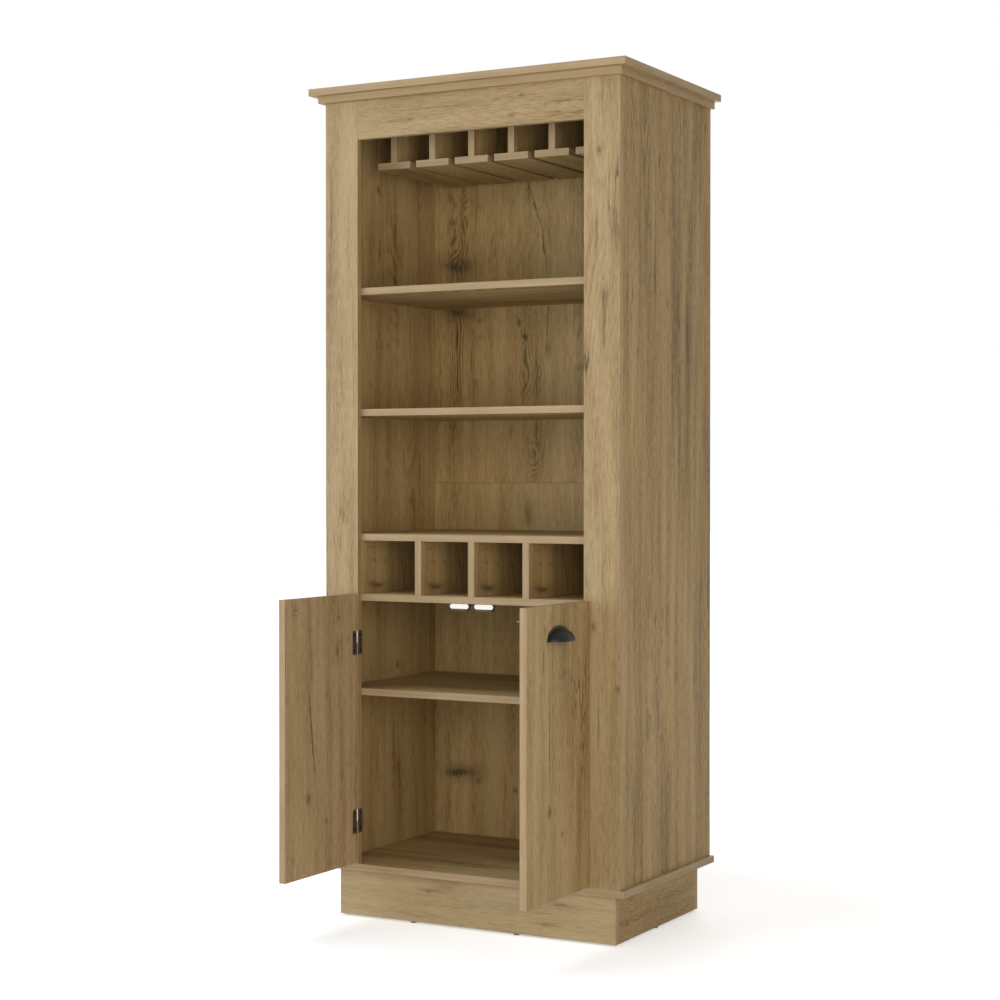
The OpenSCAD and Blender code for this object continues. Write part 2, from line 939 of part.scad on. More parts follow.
// Steel strip let into the door's back, with its end bent to face the magnet's two poles
module strike_right() {
    end_x = stile_in - strike_l;
    board([end_x, strike_y - strike_w / 2, strike_z - strike_t / 2],
          [stile_in + strike_in_door, strike_y + strike_w / 2, strike_z + strike_t / 2]);
    board([end_x, strike_y - strike_w / 2, magnet_z],
          [end_x + strike_t, strike_y + strike_w / 2, magnet_z + magnet_h]);
}

module strike(side) {
    color(bronze)
        on_side(side)
            strike_right();
}

side_panel(-1);  // left_side_panel
side_panel(1);  // right_side_panel
top_panel();
crown_board();
base_board();
stile(-1);  // left_stile
stile(1);  // right_stile
top_rail();
plinth_front();
plinth_back();
plinth_left();
plinth_right();
floor_glides();
upper_back_panel();
lower_back_panel();
back_seam_strip();
shelf(upper_shelf_z);  // upper_shelf
shelf(middle_shelf_z);  // middle_shelf
shelf(rack_top_z);  // bottle_rack_top
shelf(rack_floor_z);  // bottle_rack_floor
shelf(lower_shelf_z);  // lower_shelf
bottle_divider(-divider_pitch);  // left_bottle_divider
bottle_divider(0);  // middle_bottle_divider
bottle_divider(divider_pitch);  // right_bottle_divider
bottle_divider(-rack_end_x);  // left_rack_end
bottle_divider(rack_end_x);  // right_rack_end
glass_rail_stem(1);  // glass_rail_stem_1
glass_rail_stem(2);  // glass_rail_stem_2
glass_rail_stem(3);  // glass_rail_stem_3
glass_rail_stem(4);  // glass_rail_stem_4
glass_rail_stem(5);  // glass_rail_stem_5
glass_rail_stem(6);  // glass_rail_stem_6
glass_rail_flange(1);  // glass_rail_flange_1
glass_rail_flange(2);  // glass_rail_flange_2
glass_rail_flange(3);  // glass_rail_flange_3
glass_rail_flange(4);  // glass_rail_flange_4
glass_rail_flange(5);  // glass_rail_flange_5
glass_rail_flange(6);  // glass_rail_flange_6
shelf_dowels();
frame_dowels();
top_screws();
door(-1);  // left_door
door(1);  // right_door
cup_pull(-1);  // left_cup_pull
cup_pull(1);  // right_cup_pull
pull_screws(-1);  // left_pull_screws
pull_screws(1);  // right_pull_screws
frame_leaves();
door_leaves(-1);  // left_door_leaves
door_leaves(1);  // right_door_leaves
hinge_pins();
frame_leaf_screws();
door_leaf_screws(-1);  // left_door_leaf_screws
door_leaf_screws(1);  // right_door_leaf_screws
catch_plates();
catch_housings();
catch_magnets();
catch_screws();
strike(-1);  // left_strike
strike(1);  // right_strike
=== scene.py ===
import json
import math

import bmesh
import bpy
from mathutils import Matrix, Vector


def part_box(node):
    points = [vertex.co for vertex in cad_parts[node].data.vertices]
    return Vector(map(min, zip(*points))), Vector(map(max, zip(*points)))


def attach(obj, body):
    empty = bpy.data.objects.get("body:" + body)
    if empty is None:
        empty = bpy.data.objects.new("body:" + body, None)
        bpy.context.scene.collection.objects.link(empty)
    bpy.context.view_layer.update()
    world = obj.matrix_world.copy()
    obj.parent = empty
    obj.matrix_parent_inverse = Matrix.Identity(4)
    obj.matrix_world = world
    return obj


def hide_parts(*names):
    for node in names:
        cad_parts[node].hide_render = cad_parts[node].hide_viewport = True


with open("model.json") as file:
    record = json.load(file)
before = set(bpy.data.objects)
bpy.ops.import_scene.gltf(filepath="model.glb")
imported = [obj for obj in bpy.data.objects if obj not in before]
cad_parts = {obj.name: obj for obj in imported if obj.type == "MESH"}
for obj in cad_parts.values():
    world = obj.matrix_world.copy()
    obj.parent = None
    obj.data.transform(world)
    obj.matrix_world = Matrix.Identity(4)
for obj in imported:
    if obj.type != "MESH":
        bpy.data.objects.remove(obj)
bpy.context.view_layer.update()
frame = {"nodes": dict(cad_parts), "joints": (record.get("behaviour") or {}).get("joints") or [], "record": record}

# ---- Side panels ----
# Two tall boards, 15 mm thick, that carry everything else. Particle board with a printed oak
# foil under satin melamine on both faces and a narrow band of the same oak on every edge.
# The foil is pressed on flat; the bands are glued on and their corners eased with a scraper.

MM = 0.001
body_of_node = {
    node: body
    for body, nodes in frame["record"]["behaviour"]["bodies"].items()
    for node in nodes
}
X, Y, Z = 0, 1, 2
EASED = 0.5 * MM
CUT_EASED = 0.05 * MM
FACE_ON = 0.9
# How far the print of a board's back and of its bands lies from that of its front
BACK_SEED = 5.3
BAND_SEED = 11.7


def paint(code):
    """An sRGB hex colour as linear red, green, blue and alpha."""
    parts = [int(code[i:i + 2], 16) / 255 for i in (1, 3, 5)]
    linear = [c / 12.92 if c <= 0.04045 else ((c + 0.055) / 1.055) ** 2.4 for c in parts]
    return (*linear, 1.0)


def add(tree, kind, inputs=None, stops=None, **settings):
    """Adds a node, with a colour ramp's stops if it has them.

    An input is a value, an output or a node, whose first output is then used.
    """
    node = tree.nodes.new(kind)
    for name, value in settings.items():
        setattr(node, name, value)
    for socket, value in (inputs or {}).items():
        if isinstance(value, bpy.types.Node):
            value = value.outputs[0]
        if isinstance(value, bpy.types.NodeSocket):
            tree.links.new(value, node.inputs[socket])
        else:
            node.inputs[socket].default_value = value
    if stops:
        ramp = node.color_ramp
        while len(ramp.elements) < len(stops):
            ramp.elements.new(1.0)
        for element, (place, code) in zip(ramp.elements, stops):
            element.position = place
            element.color = paint(code)
    return node


def new_material(name):
    """An empty material and its node tree."""
    material = bpy.data.materials.new(name)
    material.use_nodes = True
    material.node_tree.nodes.clear()
    return material, material.node_tree


# Oak print: soft stripes of tone that lean to pink or to green, short fine fibres, year rings that
# close to pointed arches, and knots, stains and cracks at their own places on each board. Fibres
# are about 1 mm apart on real oak and its rings about 2 mm; here they are drawn coarser, so that
# they show. Where a pattern is stretched by three numbers, the first two are its spots in a metre
# along and across the grain, and the third keeps it apart from the other patterns.
FIBRE_MM = 2.6
FLECK_MM = 5.0
RING_MM = 6.0
# From side to side, the way of the grain as it wanders and of a mark's edge as it is torn
WANDER = 12.0 * MM
TEAR = 12.0 * MM
# A mark reaches this far through the seeds, so it shows on both faces of its board
FAR = 1000.0
FOIL_SHINE = 0.25
MEAN_TONE = 0.36
OAK_TONES = [(0.0, "#b9a27b"), (0.36, "#a48c64"), (0.62, "#876e49"), (0.84, "#635030"), (1.0, "#473921")]
STAIN = "#54482e"
# The pinkish and the greenish tint of the stripes
CAST = ("#fffaee", "#f9fcea")


def oak_foil(name, marks=(), shift=0.0, lively=1.0, cast=CAST):
    """Satin printed oak, darker by the shift and bolder by lively.

    A mark is its place along and across, its half length and half width in mm, its lean in degrees,
    how dark it is and how far it swirls the rings.
    """
    material, tree = new_material(name)
    grain = add(tree, "ShaderNodeAttribute", attribute_name="grain").outputs["Vector"]

    # The grain wanders a little to each side on its way along the board, in waves of 455 by 143 mm
    slow = add(tree, "ShaderNodeVectorMath", {0: grain, 1: (2.2, 7.0, 1.0)}, operation="MULTIPLY")
    wander = add(tree, "ShaderNodeTexNoise", {"Vector": slow, "Scale": 1.0, "Detail": 4.0, "Roughness": 0.45})
    aside = add(tree, "ShaderNodeMath", {0: wander, 1: WANDER * lively, 2: -WANDER / 2 * lively},
                operation="MULTIPLY_ADD")
    bend = add(tree, "ShaderNodeCombineXYZ", {"Y": aside})
    bent = add(tree, "ShaderNodeVectorMath", {0: grain, 1: bend}, operation="ADD")

    # Knots, stains and cracks: soft spots, each at its own place and lean. Their edges are torn in
    # bits of 17 by 6 mm
    tear_at = add(tree, "ShaderNodeVectorMath", {0: grain, 1: (60.0, 160.0, 1.0)}, operation="MULTIPLY")
    tear = add(tree, "ShaderNodeTexNoise", {"Vector": tear_at, "Scale": 1.0, "Detail": 4.0, "Roughness": 0.7})
    tear_aside = add(tree, "ShaderNodeMath", {0: tear, 1: TEAR, 2: -TEAR / 2}, operation="MULTIPLY_ADD")
    tear_bend = add(tree, "ShaderNodeCombineXYZ", {"Y": tear_aside})
    torn = add(tree, "ShaderNodeVectorMath", {0: grain, 1: tear_bend}, operation="ADD")
    dark, swirl = 0.0, 0.0
    for along, across, half_length, half_width, lean, darkness, turning in marks:
        spot_at = add(tree, "ShaderNodeMapping", {
            "Vector": torn, "Location": (along * MM, across * MM, 0.0),
            "Rotation": (0.0, 0.0, math.radians(lean)),
            "Scale": (half_length * MM, half_width * MM, FAR)}, vector_type="TEXTURE")
        square = add(tree, "ShaderNodeVectorMath", {0: spot_at, 1: spot_at}, operation="DOT_PRODUCT")
        away = add(tree, "ShaderNodeMath", {0: square.outputs["Value"], 1: -1.0}, operation="MULTIPLY")
        spot = add(tree, "ShaderNodeMath", {0: away}, operation="EXPONENT")
        if darkness:
            dark = add(tree, "ShaderNodeMath", {0: spot, 1: darkness, 2: dark}, operation="MULTIPLY_ADD")
        if turning:
            swirl = add(tree, "ShaderNodeMath", {0: spot, 1: turning, 2: swirl}, operation="MULTIPLY_ADD")

    # Small knots anywhere, in one of three cells of 500 by 154 mm, each a twelfth of its cell
    cells = add(tree, "ShaderNodeVectorMath", {0: bent, 1: (2.0, 6.5, 1.0)}, operation="MULTIPLY")
    knot = add(tree, "ShaderNodeTexVoronoi", {"Vector": cells, "Scale": 1.0})
    knot_far = add(tree, "ShaderNodeMath", {0: knot.outputs["Distance"], 1: 12.0}, operation="MULTIPLY")
    knot_square = add(tree, "ShaderNodeMath", {0: knot_far, 1: 2.0}, operation="POWER")
    knot_away = add(tree, "ShaderNodeMath", {0: knot_square, 1: -1.0}, operation="MULTIPLY")
    knot_near = add(tree, "ShaderNodeMath", {0: knot_away}, operation="EXPONENT")
    pick = add(tree, "ShaderNodeSeparateColor", {0: knot.outputs["Color"]})
    has_knot = add(tree, "ShaderNodeMath", {0: pick, 1: 0.66}, operation="GREATER_THAN")
    small_knot = add(tree, "ShaderNodeMath", {0: knot_near, 1: has_knot}, operation="MULTIPLY")

    # Year rings: level lines of a slow field with spots of 1100 by 143 mm, which close to arches and
    # round the marks. They show in patches of 670 by 111 mm
    field_at = add(tree, "ShaderNodeVectorMath", {0: bent, 1: (0.9, 7.0, 1.0)}, operation="MULTIPLY")
    field = add(tree, "ShaderNodeTexNoise",
                {"Vector": field_at, "Scale": 1.0, "Detail": 1.0, "Roughness": 0.3})
    knotted = add(tree, "ShaderNodeMath", {0: small_knot, 1: 0.05, 2: field}, operation="MULTIPLY_ADD")
    swirled = add(tree, "ShaderNodeMath", {0: swirl, 1: 0.09, 2: knotted}, operation="MULTIPLY_ADD")
    ring_angle = add(tree, "ShaderNodeMath", {0: swirled, 1: 2000.0 / RING_MM}, operation="MULTIPLY")
    ring_wave = add(tree, "ShaderNodeMath", {0: ring_angle}, operation="SINE")
    ring_line = add(tree, "ShaderNodeMapRange", {"Value": ring_wave, "From Min": -0.2, "From Max": 1.0})
    where_at = add(tree, "ShaderNodeVectorMath", {0: bent, 1: (1.5, 9.0, 2.0)}, operation="MULTIPLY")
    where = add(tree, "ShaderNodeTexNoise", {"Vector": where_at, "Scale": 1.0, "Detail": 2.0})
    there = add(tree, "ShaderNodeMath", {0: swirl, 1: 0.22, 2: where}, operation="MULTIPLY_ADD")
    ring_share = add(tree, "ShaderNodeMapRange",
                     {"Value": there, "From Min": 0.5, "From Max": 0.8, "To Min": 0.0, "To Max": 1.0})
    rings = add(tree, "ShaderNodeMath", {0: ring_line, 1: ring_share}, operation="MULTIPLY")

    # Tone along the board: broad drifts of 910 by 83 mm and narrow stripes of 385 by 25 mm
    drift_at = add(tree, "ShaderNodeVectorMath", {0: bent, 1: (1.1, 12.0, 3.0)}, operation="MULTIPLY")
    drift = add(tree, "ShaderNodeTexNoise", {"Vector": drift_at, "Scale": 1.0, "Detail": 2.0})
    stripe_at = add(tree, "ShaderNodeVectorMath", {0: bent, 1: (2.6, 40.0, 4.0)}, operation="MULTIPLY")
    stripe = add(tree, "ShaderNodeTexNoise",
                 {"Vector": stripe_at, "Scale": 1.0, "Detail": 4.0, "Roughness": 0.6})

    # Fibres 22 mm long, and dark flecks 33 mm long among them
    fibre_at = add(tree, "ShaderNodeVectorMath", {0: bent, 1: (45.0, 1000.0 / FIBRE_MM, 5.0)},
                   operation="MULTIPLY")
    fibre = add(tree, "ShaderNodeTexNoise",
                {"Vector": fibre_at, "Scale": 1.0, "Detail": 2.0, "Roughness": 0.6})
    fleck_at = add(tree, "ShaderNodeVectorMath", {0: bent, 1: (30.0, 1000.0 / FLECK_MM, 7.0)},
                   operation="MULTIPLY")
    fleck = add(tree, "ShaderNodeTexNoise",
                {"Vector": fleck_at, "Scale": 1.0, "Detail": 3.0, "Roughness": 0.7})
    flecks = add(tree, "ShaderNodeMapRange", {"Value": fleck, "From Min": 0.6, "From Max": 0.78})

    # Ragged dark streaks, 222 mm long and 19 mm apart
    streak_at = add(tree, "ShaderNodeVectorMath", {0: bent, 1: (4.5, 52.0, 21.0)}, operation="MULTIPLY")
    streak = add(tree, "ShaderNodeTexNoise",
                 {"Vector": streak_at, "Scale": 1.0, "Detail": 5.0, "Roughness": 0.65})
    streaks = add(tree, "ShaderNodeMapRange", {"Value": streak, "From Min": 0.62, "From Max": 0.8})

    # Fine cracks: thin level lines of a field with spots of 333 by 33 mm, only here and there
    crack_at = add(tree, "ShaderNodeVectorMath", {0: bent, 1: (3.0, 30.0, 9.0)}, operation="MULTIPLY")
    crack = add(tree, "ShaderNodeTexNoise",
                {"Vector": crack_at, "Scale": 1.0, "Detail": 4.0, "Roughness": 0.65})
    crack_off = add(tree, "ShaderNodeMath", {0: crack, 1: 0.5}, operation="SUBTRACT")
    crack_gap = add(tree, "ShaderNodeMath", {0: crack_off}, operation="ABSOLUTE")
    crack_line = add(tree, "ShaderNodeMapRange",
                     {"Value": crack_gap, "From Min": 0.028, "From Max": 0.0, "To Min": 0.0, "To Max": 1.0})
    crack_where_at = add(tree, "ShaderNodeVectorMath", {0: grain, 1: (3.0, 12.0, 13.0)}, operation="MULTIPLY")
    crack_where = add(tree, "ShaderNodeTexNoise", {"Vector": crack_where_at, "Scale": 1.0, "Detail": 2.0})
    crack_share = add(tree, "ShaderNodeMapRange", {"Value": crack_where, "From Min": 0.58, "From Max": 0.74})
    cracks = add(tree, "ShaderNodeMath", {0: crack_line, 1: crack_share}, operation="MULTIPLY")

    # All of it as one tone, from pale to dark
    shares = ((drift, 0.7 * lively), (stripe, 0.85 * lively), (fibre, 0.85 * lively))
    darker = ((flecks, 0.22 * lively), (streaks, 0.6 * lively), (rings, 0.28 * lively ** 2),
              (small_knot, 0.3), (cracks, 0.5))
    tone_sum = MEAN_TONE + shift - sum(share for source, share in shares) / 2 - 0.05 * lively
    for source, share in (*shares, *darker):
        tone_sum = add(tree, "ShaderNodeMath", {0: source, 1: share, 2: tone_sum}, operation="MULTIPLY_ADD")
    tone = add(tree, "ShaderNodeValToRGB", {"Fac": tone_sum}, stops=OAK_TONES)

    # Stripes 38 mm apart lean to pink or to green, and the marks to a greenish brown
    lean_at = add(tree, "ShaderNodeVectorMath", {0: bent, 1: (0.9, 26.0, 17.0)}, operation="MULTIPLY")
    leaning = add(tree, "ShaderNodeTexNoise", {"Vector": lean_at, "Scale": 1.0, "Detail": 2.0})
    tint = add(tree, "ShaderNodeValToRGB", {"Fac": leaning}, stops=[(0.35, cast[0]), (0.65, cast[1])])
    leant = add(tree, "ShaderNodeMix", {"Factor": 1.0, 6: tone, 7: tint}, data_type="RGBA",
                blend_type="MULTIPLY")
    rough_edge = add(tree, "ShaderNodeMath", {0: tear, 1: 3.4, 2: -0.3}, operation="MULTIPLY_ADD")
    torn_dark = add(tree, "ShaderNodeMath", {0: dark, 1: rough_edge}, operation="MULTIPLY", use_clamp=True)
    stained = add(tree, "ShaderNodeMix", {"Factor": torn_dark, 6: leant.outputs[2], 7: paint(STAIN)},
                  data_type="RGBA")

    # The foil is embossed with the fibres and, deeper, the flecks
    height = add(tree, "ShaderNodeMath", {0: flecks, 1: -1.0, 2: fibre}, operation="MULTIPLY_ADD")
    bump = add(tree, "ShaderNodeBump", {"Height": height, "Strength": 0.35, "Distance": 0.12 * MM})
    gloss = add(tree, "ShaderNodeMapRange", {"Value": fibre, "To Min": 0.5, "To Max": 0.66})
    shader = add(tree, "ShaderNodeBsdfPrincipled", {
        "Base Color": stained.outputs[2], "Roughness": gloss, "Normal": bump, "IOR": 1.5,
        "Specular IOR Level": FOIL_SHINE})
    add(tree, "ShaderNodeOutputMaterial", {"Surface": shader})
    return material


# Edge band: a strip of the same oak with straight lines along the edge, in bands of 9 mm, fibres
# 111 mm long and worn patches of 71 by 25 mm. It has no knots, so a board's edge looks calmer and
# a little greyer than its face.
BAND_TONES = [(0.0, "#a18b6a"), (0.36, "#8f7a5a"), (0.62, "#776343"), (1.0, "#503f27")]


def oak_band(name, tones=BAND_TONES):
    """Glued-on oak edge band, satin."""
    material, tree = new_material(name)
    grain = add(tree, "ShaderNodeAttribute", attribute_name="grain").outputs["Vector"]
    band_at = add(tree, "ShaderNodeVectorMath", {0: grain, 1: (1.4, 110.0, 3.0)}, operation="MULTIPLY")
    band = add(tree, "ShaderNodeTexNoise", {"Vector": band_at, "Scale": 1.0, "Detail": 4.0, "Roughness": 0.6})
    fibre_at = add(tree, "ShaderNodeVectorMath", {0: grain, 1: (9.0, 1000.0 / FIBRE_MM, 5.0)},
                   operation="MULTIPLY")
    fibre = add(tree, "ShaderNodeTexNoise",
                {"Vector": fibre_at, "Scale": 1.0, "Detail": 3.0, "Roughness": 0.65})
    wear_at = add(tree, "ShaderNodeVectorMath", {0: grain, 1: (14.0, 40.0, 9.0)}, operation="MULTIPLY")
    wear = add(tree, "ShaderNodeTexNoise", {"Vector": wear_at, "Scale": 1.0, "Detail": 3.0})
    depth = -0.78
    for source, share in ((band, 0.8), (fibre, 0.7), (wear, 0.35)):
        depth = add(tree, "ShaderNodeMath", {0: source, 1: share, 2: depth}, operation="MULTIPLY_ADD")
    tone = add(tree, "ShaderNodeValToRGB", {"Fac": depth}, stops=tones)
    bump = add(tree, "ShaderNodeBump", {"Height": fibre, "Strength": 0.3, "Distance": 0.1 * MM})
    gloss = add(tree, "ShaderNodeMapRange", {"Value": wear, "To Min": 0.42, "To Max": 0.6})
    shader = add(tree, "ShaderNodeBsdfPrincipled",
                 {"Base Color": tone, "Roughness": gloss, "Normal": bump, "IOR": 1.5,
                  "Specular IOR Level": FOIL_SHINE})
    add(tree, "ShaderNodeOutputMaterial", {"Surface": shader})
    return material


def box_mesh(low, high, eased):
    """A box with its edges eased by that much."""
    solid = bmesh.new()
    bmesh.ops.create_cube(solid, size=1.0)
    span = Vector(high) - Vector(low)
    bmesh.ops.transform(solid, verts=solid.verts, matrix=Matrix.Diagonal((*span, 1.0)))
    bmesh.ops.translate(solid, verts=solid.verts, vec=(Vector(high) + Vector(low)) / 2)
    bmesh.ops.bevel(solid, geom=solid.edges[:], offset=eased, segments=2, profile=0.5, affect="EDGES")
    mesh = bpy.data.meshes.new("box")
    solid.to_mesh(mesh)
    solid.free()
    return mesh


def show(name, mesh, materials, node):
    """Puts a mesh in the scene in place of a node, riding on the node's body."""
    piece = bpy.data.objects.new(name, mesh)
    bpy.context.scene.collection.objects.link(piece)
    for material in materials:
        mesh.materials.append(material)
    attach(piece, body_of_node[node])
    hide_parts(node)


def cut_away(mesh, low, high):
    """The mesh less a box."""
    piece = bpy.data.objects.new("cut", mesh)
    cutter = bpy.data.objects.new("cutter", box_mesh(low, high, CUT_EASED))
    for thing in (piece, cutter):
        bpy.context.scene.collection.objects.link(thing)
    groove = piece.modifiers.new("groove", "BOOLEAN")
    groove.operation = "DIFFERENCE"
    groove.solver = "EXACT"
    groove.object = cutter
    cut = bpy.data.meshes.new_from_object(piece.evaluated_get(bpy.context.evaluated_depsgraph_get()))
    for thing in (piece, cutter):
        bpy.data.objects.remove(thing)
    return cut


def lay_grain(mesh, along, thin, seed):
    """Writes where each corner lies in the print, and puts the bands on the edges."""
    across = X + Y + Z - along - thin
    place = mesh.attributes.new("grain", "FLOAT_VECTOR", "CORNER")
    for face in mesh.polygons:
        normal = [abs(part) for part in face.normal]
        on_face = normal[thin] > FACE_ON
        if on_face:
            axes = (along, across)
            depth = seed + (0.0 if face.normal[thin] > 0 else BACK_SEED)
        else:
            side = max((axis for axis in (X, Y, Z) if axis != thin), key=lambda axis: normal[axis])
            axes = (X + Y + Z - side - thin, thin)
            depth = seed + BAND_SEED
        face.material_index = 0 if on_face else 1
        face.use_smooth = False
        for corner in face.loop_indices:
            point = mesh.vertices[mesh.loops[corner].vertex_index].co
            place.data[corner].vector = (point[axes[0]], point[axes[1]], depth)


def board(node, along, thin, foil, seed, groove=None, band=None):
    """A foil-faced board with banded edges in place of a node, at its own seed in the print.

    Its grain runs along one axis, and it is thin in another.
    """
    low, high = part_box(node)
    mesh = box_mesh(low, high, EASED)
    if groove:
        mesh = cut_away(mesh, *groove)
    lay_grain(mesh, along, thin, seed)
    show(node + "_board", mesh, [foil, band or band_oak], node)


plain_oak = oak_foil("oak print under satin melamine")
band_oak = oak_band("oak edge band")

# The groove that the back panels slide in, with a little play at their edges and behind them
GROOVE_PLAY = 0.5 * MM
GROOVE_SLACK = 0.2 * MM
panel_low, panel_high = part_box("upper_back_panel")
lower_panel_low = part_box("lower_back_panel")[0]
groove_low = Vector((panel_low.x - GROOVE_PLAY, panel_low.y, lower_panel_low.z - GROOVE_PLAY))
groove_high = Vector((panel_high.x + GROOVE_PLAY, panel_high.y + GROOVE_SLACK, panel_high.z + GROOVE_PLAY))
groove = (groove_low, groove_high)

# The left side panel's print is set paler (shift below zero): painted light, making up for light that does not
# reach the inside of the cabinet; its outer face comes out paler with it
left_oak = oak_foil("oak print of the left side panel", [
    (1605, 192, 10, 6, 0, 0.6, 0.4), (529, 273, 8, 7, 0, 0.5, 0.4),
    (1638, 367, 40, 10, 0, 0, 0.9), (1507, 336, 50, 12, 0, 0, 0.9),
    (1700, 184, 42, 2.0, 0, 0.5, 0), (1277, 331, 60, 3.0, 0, 0.4, 0), (971, 172, 100, 2.5, 1, 0.4, 0),
    (329, 186, 50, 2.5, 0, 0.45, 0), (257, 281, 80, 2.5, 0, 0.4, 0)],
    shift=-0.06, lively=1.15)
right_oak = oak_foil("oak print of the right side panel", [
    (1620, 191, 14, 5, 0, 0.65, 0.5), (1636, 24, 9, 3.5, 0, 0.5, 0.2), (1326, 232, 9, 9, 0, 0.4, 0.5),
    (661, 172, 12, 5, 0, 0.5, 0.5), (530, 281, 8, 6, 0, 0.45, 0.4), (410, 203, 8, 6, 0, 0.45, 0.4),
    (1475, 353, 75, 15, 0, 0, 1.3), (1455, 171, 130, 2.0, 0, 0.55, 0), (1374, 168, 32, 3.0, -4, 0.8, 0),
    (1272, 337, 80, 7, 0, 0.6, 0), (1245, 337, 28, 4.5, 0, 0.6, 0), (1327, 58, 25, 2.5, 0, 0.4, 0),
    (455, 188, 45, 2.4, 0, 0.7, 0)],
    shift=0.17, lively=0.95)
board("left_side_panel", Z, X, left_oak, 1.0, groove)
board("right_side_panel", Z, X, right_oak, 4.0, groove)

# ---- Crown, top panel and base board ----
# Full boards that cap the carcass. The top panel stands out a little and the crown board above
# it a little more, so that the two make a stepped cornice; the base board makes a lip at each side.

board("top_panel", X, Z, plain_oak, 21.0, groove)
board("crown_board", X, Z, plain_oak, 24.0)
base_oak = oak_foil("oak print of the base board", [
    (40, 205, 110, 12, 3, 0.4, 0.4), (-110, 330, 130, 22, -2, 0.3, 0.3),
    (-40, 90, 60, 8, 0, 0.25, 0.5)],
    shift=-0.12, lively=1.5)
board("base_board", X, Z, base_oak, 27.0, groove)

# ---- Plinth ----
# Four boards on edge, pegged at the corners, set back under the base board so that feet and
# skirting clear the cabinet. Their grain runs level.

# The boards of the front get a cooler tint: painted sheen, standing in for the whitish reflection of the
# front-left softboxes on their faces
FRONT_SHEEN_TINT = ("#f7f8ff", "#f1faff")

plinth_oak = oak_foil("oak print of the plinth's front", [
    (174, 31, 26, 4, 0, 0.4, 0.3), (-105, 75, 26, 4, 0, 0.4, 0.3),
    (207, 74, 22, 4, 0, 0.4, 0.3)],
    shift=-0.02, lively=0.6, cast=FRONT_SHEEN_TINT)
plinth_side_oak = oak_foil("oak print of the plinth's right end", [(101, 93, 24, 4, 0, 0.4, 0.3)],
    shift=0.22, lively=0.8)
board("plinth_front", X, Y, plinth_oak, 31.0)
board("plinth_back", X, Y, plain_oak, 34.0)
board("plinth_left", Y, X, plain_oak, 37.0)
board("plinth_right", Y, X, plinth_side_oak, 40.0)

# ---- Back panels ----
# Two thin fibreboard panels with the same print, slid into grooves from above and below, and a
# strip glued behind the seam where they meet.

# Both back panels' prints are set paler (shifts below zero): painted light, making up for light that does not
# reach the back of the bays and of the cupboard
upper_back_oak = oak_foil("oak print of the upper back panel", [
    (1456, -274, 24, 52, 8, 0.45, 0.3), (1450, -284, 8, 24, 15, 0.35, 0), (1345, -274, 20, 50, 0, 0.42, 0.3),
    (1346, -286, 7, 24, 15, 0.3, 0), (1300, -105, 45, 26, 0, 0, 0.9), (1190, -85, 90, 34, 0, 0, 1.3),
    (1618, -89, 30, 6, 0, 0.4, 0), (1576, -70, 48, 1.9, -19, 0.6, 0), (1475, -48, 55, 1.8, -6, 0.6, 0),
    (1318, -40, 52, 1.8, 2, 0.55, 0), (1255, -38, 22, 9, 10, 0.35, 0.6), (1193, -68, 50, 1.8, 0, 0.5, 0),
    (1317, -114, 9, 5, 0, 0.5, 0.5), (1281, -98, 7, 6, 0, 0.75, 0.5), (1208, 48, 9, 16, 0, 0.4, 0.5),
    (1593, -220, 20, 9, 0, 0.15, 0.5), (1324, -218, 6, 5, 0, 0.4, 0.2), (1286, -218, 6, 5, 0, 0.4, 0.2),
    (1175, -228, 40, 9, 0, 0, 1.0), (1010, -233, 50, 10, 0, 0, 1.0), (1569, -261, 60, 12, 0, 0, 0.7),
    (1006, -69, 55, 26, 0, 0.1, 1.2), (1065, -69, 30, 1.8, 0, 0.5, 0), (992, 49, 14, 1.8, 0, 0.5, 0)],
    shift=-0.06, lively=1.15)
lower_back_oak = oak_foil("oak print of the lower back panel", [
    (877, -90, 42, 12, 0, 0.4, 0.3), (268, -268, 21, 56, 0, 0.42, 0.3), (264, -282, 7, 28, -6, 0.4, 0),
    (247, -222, 6, 6, 0, 0.5, 0.2), (233, -124, 6, 6, 0, 0.5, 0.2), (429, -230, 40, 10, 0, 0, 0.8),
    (378, -228, 40, 10, 0, 0, 0.8), (145, -230, 30, 9, 0, 0, 0.8)],
    shift=-0.1, lively=1.1)
board("upper_back_panel", Z, Y, upper_back_oak, 51.0)
board("lower_back_panel", Z, Y, lower_back_oak, 54.0)
board("back_seam_strip", X, Y, plain_oak, 57.0)

# ---- Face frame ----
# Two stiles pegged on the side panels' front edges, and a rail pegged between them at the top. They
# are boards like the rest, but the bands on the stiles are browner.

FRAME_BAND_TONES = [(0.0, "#a18860"), (0.36, "#8f7750"), (0.62, "#775f3b"), (1.0, "#503c20")]

